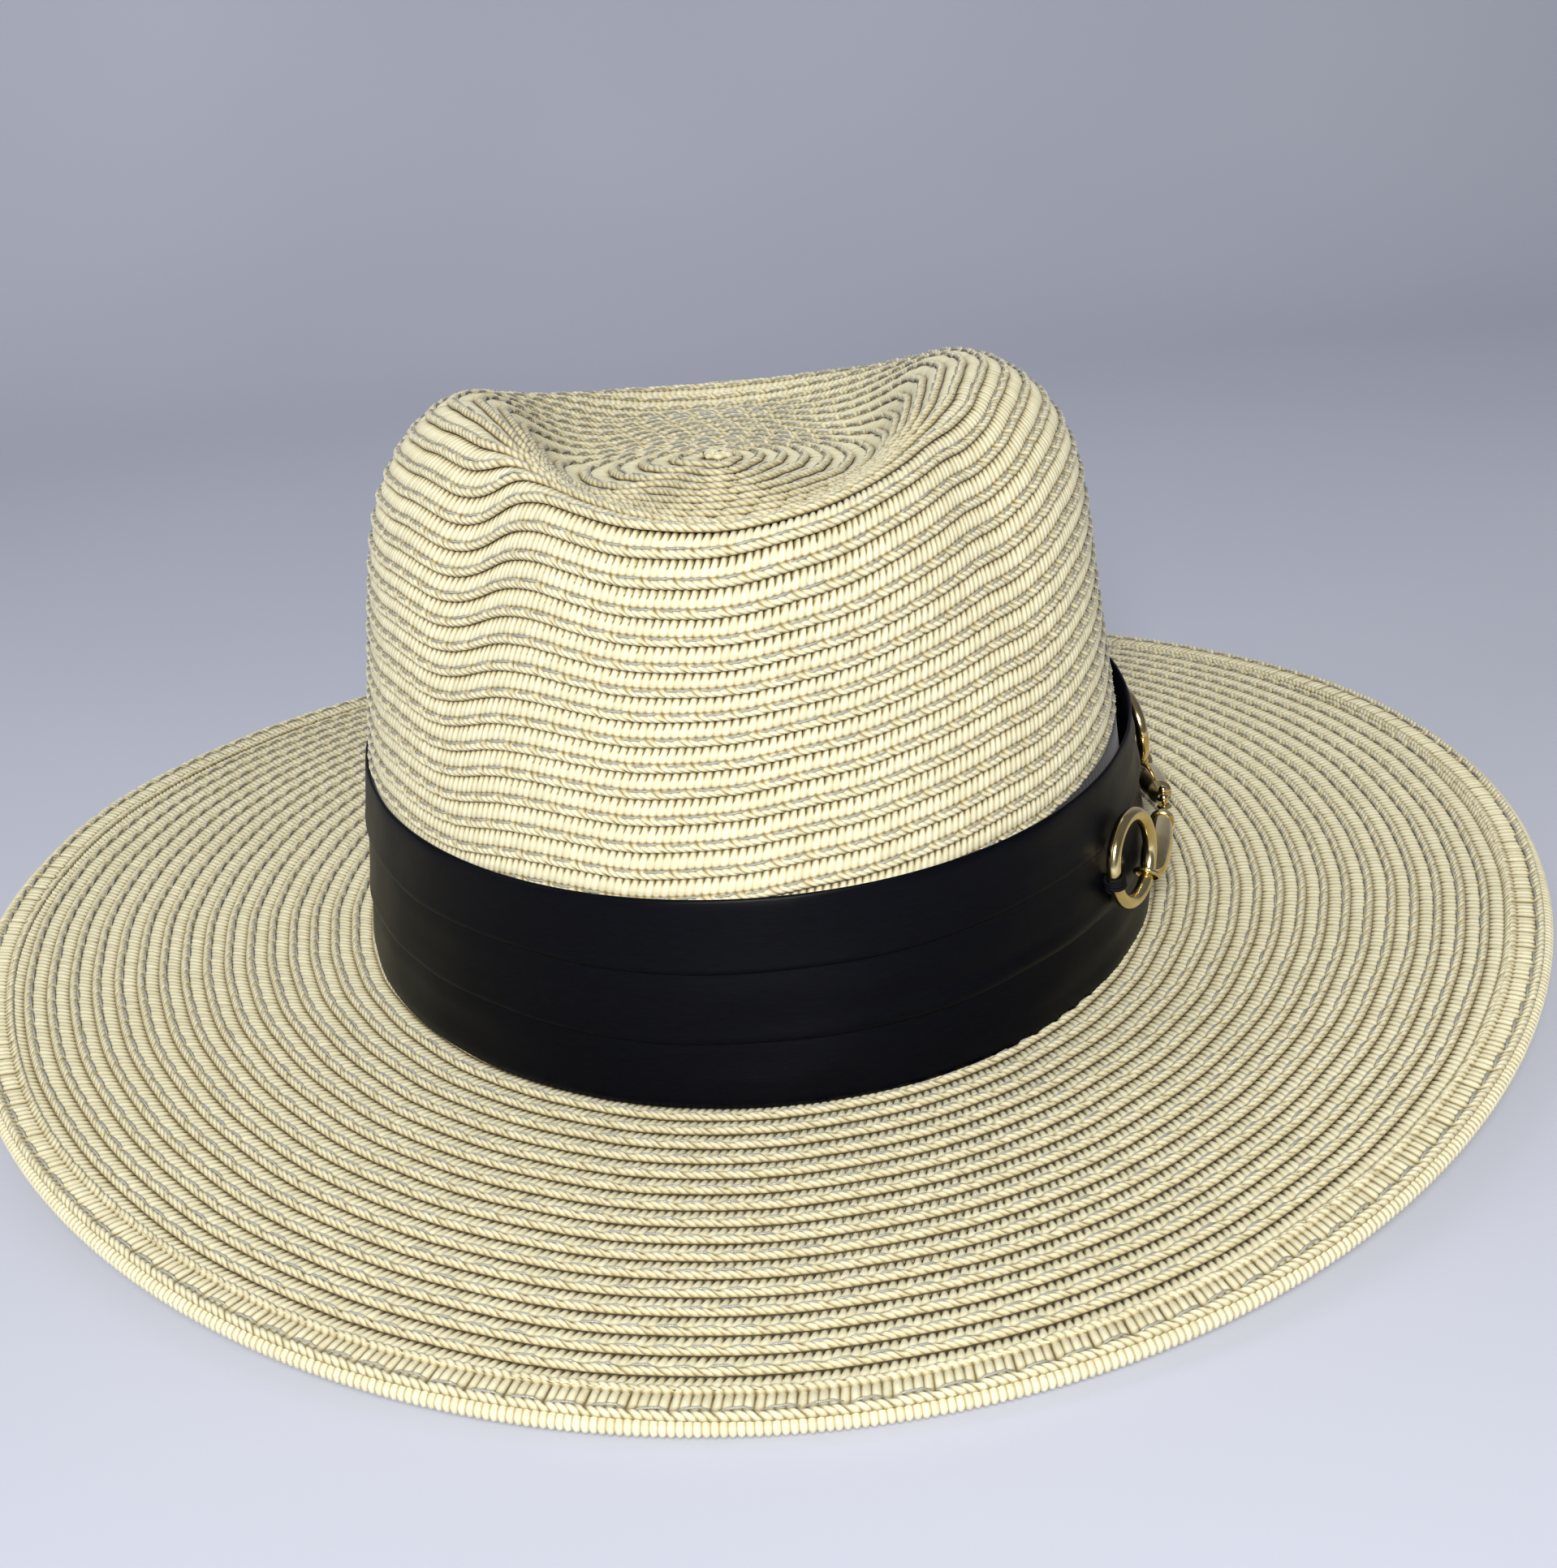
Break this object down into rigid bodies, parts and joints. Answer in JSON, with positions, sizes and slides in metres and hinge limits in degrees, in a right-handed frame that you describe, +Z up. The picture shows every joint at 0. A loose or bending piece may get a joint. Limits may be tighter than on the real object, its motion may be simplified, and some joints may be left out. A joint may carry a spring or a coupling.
{
  "type": "wide-brim straw sun hat",
  "caption": "Wide-brimmed sun hat of sewn straw braid with a dented oval crown, a pleated dark satin band and a gold-tone ring-and-bar ornament on one side.",
  "frame": {"origin": "on the surface the brim stands on, under the middle of the hat", "axes": "+Z up through the crown, -Y to the front of the hat, +X to the wearer's left, where the ornament is"},
  "size_m": [0.3416, 0.3732, 0.127],
  "materials": {
    "straw_braid": "matte woven paper straw",
    "band_satin": "satin",
    "band_backing": "matte ribbon",
    "sweatband_ribbon": "ribbed ribbon",
    "sewing_thread": "thread",
    "black_thread": "thread",
    "gold_metal": "polished plating"
  },
  "bodies": {
    "root": {"crown_braid": "straw_braid", "brim_braid": "straw_braid", "brim_edge_braid": "straw_braid", "hat_band": "band_satin", "band_backing": "band_backing", "sweatband": "sweatband_ribbon", "sweatband_seam": "sewing_thread", "thread_loop_front": "black_thread", "thread_loop_rear": "black_thread"},
    "ring_front": {"ring_front": "gold_metal"},
    "ring_rear": {"ring_rear": "gold_metal"},
    "bar_front": {"bar_front": "gold_metal"},
    "centre_link": {"centre_link": "gold_metal"},
    "bar_rear": {"bar_rear": "gold_metal"}
  },
  "joints": [
    {"name": "ring_front_spin", "type": "hinge", "parent": "root", "child": "ring_front", "pos_m": [0.07557, -0.05839, 0.03206], "axis": [0.8089, -0.5827, 0.0783], "continuous": true},
    {"name": "ring_rear_spin", "type": "hinge", "parent": "root", "child": "ring_rear", "pos_m": [0.08956, 0.01228, 0.03206], "axis": [0.9731, 0.2169, 0.0783], "continuous": true},
    {"name": "bar_front_lift", "type": "hinge", "parent": "root", "child": "bar_front", "pos_m": [0.0797, -0.05349, 0.02582], "axis": [0.0775, -0.0146, -0.9969], "range_deg": [0, 3]},
    {"name": "centre_link_level", "type": "hinge", "parent": "bar_front", "child": "centre_link", "pos_m": [0.0897, -0.02615, 0.02821], "axis": [0.0775, -0.0146, -0.9969], "range_deg": [-3, 0]},
    {"name": "bar_rear_lift", "type": "hinge", "parent": "centre_link", "child": "bar_rear", "pos_m": [0.09056, -0.02163, 0.02821], "axis": [0.0775, -0.0146, -0.9969], "range_deg": [-3, 0]}
  ],
  "couplings": [
    {"joint": "centre_link_level", "follows": "bar_front_lift", "ratio": -1},
    {"joint": "bar_rear_lift", "follows": "bar_front_lift", "ratio": -1}
  ]
}
